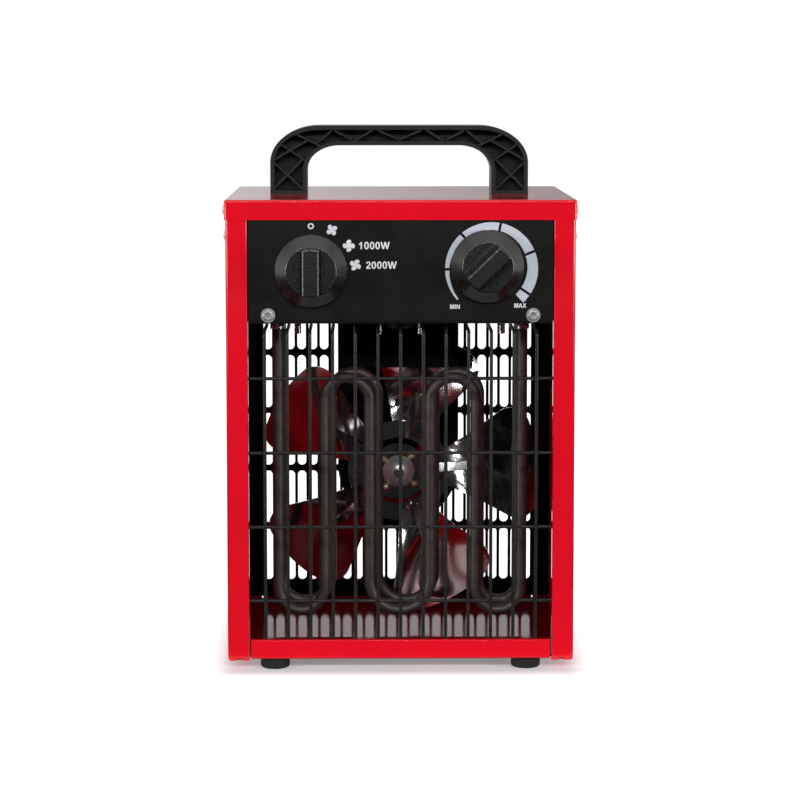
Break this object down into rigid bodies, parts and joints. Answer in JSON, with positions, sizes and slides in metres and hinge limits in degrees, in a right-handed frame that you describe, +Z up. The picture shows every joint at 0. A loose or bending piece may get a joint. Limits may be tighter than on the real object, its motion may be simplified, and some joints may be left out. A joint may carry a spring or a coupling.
{
  "type": "workshop fan heater",
  "caption": "Portable fan heater: an open-front sheet-metal case with a wire grille, serpentine heating elements, an axial fan, rotary knobs, a carrying handle and rubber feet.",
  "frame": {"origin": "on the floor under the middle of the overall box", "axes": "+X to the right seen from the front, +Y to the rear, +Z up; the open front faces -Y"},
  "size_m": [0.2052, 0.196, 0.3134],
  "materials": {
    "red_paint": "glossy bright red powder coat",
    "black_paint": "satin black",
    "zinc_sheet": "plain zinc-plated sheet",
    "dark_wire": "dark grey coated wire",
    "heating_tube": "brownish grey oxidised tube",
    "steel_fastener": "plain zinc",
    "bright_screw": "bright nickel-plated steel",
    "ceramic": "off-white unglazed ceramic",
    "dark_plastic": "fine matt black",
    "knob_plastic": "fine satin black",
    "shaft_steel": "turned steel",
    "fan_aluminium": "polished sheet",
    "rivet_brass": "dull",
    "motor_case": "plain sheet",
    "copper_wire": "enamelled copper",
    "handle_plastic": "fine matt black",
    "foot_rubber": "matt black"
  },
  "bodies": {
    "housing": {"bottom_panel": "red_paint", "bracket_bolts": "steel_fastener", "bracket_nuts": "steel_fastener", "cable_gland": "dark_plastic", "case_screws": "bright_screw", "connector_bolts": "steel_fastener", "connector_nuts": "steel_fastener", "control_panel": "black_paint", "control_screws": "steel_fastener", "cutout_nuts": "steel_fastener", "cutout_screws": "steel_fastener", "cutout_strap": "zinc_sheet", "deck": "black_paint", "element_connectors": "ceramic", "element_nuts": "steel_fastener", "element_sleeves": "steel_fastener", "element_terminals": "steel_fastener", "foot_front_left": "foot_rubber", "foot_front_right": "foot_rubber", "foot_rear_left": "foot_rubber", "foot_rear_right": "foot_rubber", "foot_screws": "steel_fastener", "front_bush": "rivet_brass", "front_element": "heating_tube", "front_grille": "dark_wire", "gland_nut": "dark_plastic", "handle": "handle_plastic", "handle_screws": "steel_fastener", "heat_shield": "black_paint", "motor_bracket": "black_paint", "motor_can": "motor_case", "motor_cover": "motor_case", "motor_screws": "steel_fastener", "panel_screws": "bright_screw", "rear_bush": "rivet_brass", "rear_element": "heating_tube", "rear_panel": "black_paint", "rear_screws": "black_paint", "selector_switch": "dark_plastic", "side_panel_left": "red_paint", "side_panel_right": "red_paint", "side_rivet": "bright_screw", "stator_core": "motor_case", "stator_windings": "copper_wire", "terminal_block": "dark_plastic", "terminal_screws": "steel_fastener", "thermal_cutout": "dark_plastic", "thermostat_blades": "steel_fastener", "thermostat_body": "dark_plastic", "top_cover": "red_paint"},
    "fan": {"fan_blades": "fan_aluminium", "fan_hub": "fan_aluminium", "fan_rivets": "rivet_brass", "fan_cap": "shaft_steel", "motor_shaft": "shaft_steel", "rotor": "motor_case"},
    "selector": {"selector_knob": "knob_plastic", "selector_shaft": "shaft_steel"},
    "thermostat": {"thermostat_knob": "knob_plastic", "thermostat_shaft": "shaft_steel"}
  },
  "joints": [
    {"name": "fan_spin", "type": "hinge", "parent": "housing", "child": "fan", "pos_m": [0, 0.023, 0.101], "axis": [0, 1, 0], "continuous": true},
    {"name": "selector_turn", "type": "hinge", "parent": "housing", "child": "selector", "pos_m": [-0.051, -0.077, 0.2325], "axis": [0, 1, 0], "range_deg": [0, 84]},
    {"name": "thermostat_turn", "type": "hinge", "parent": "housing", "child": "thermostat", "pos_m": [0.0494, -0.077, 0.235], "axis": [0, 1, 0], "range_deg": [-179.5, 89.5]}
  ]
}
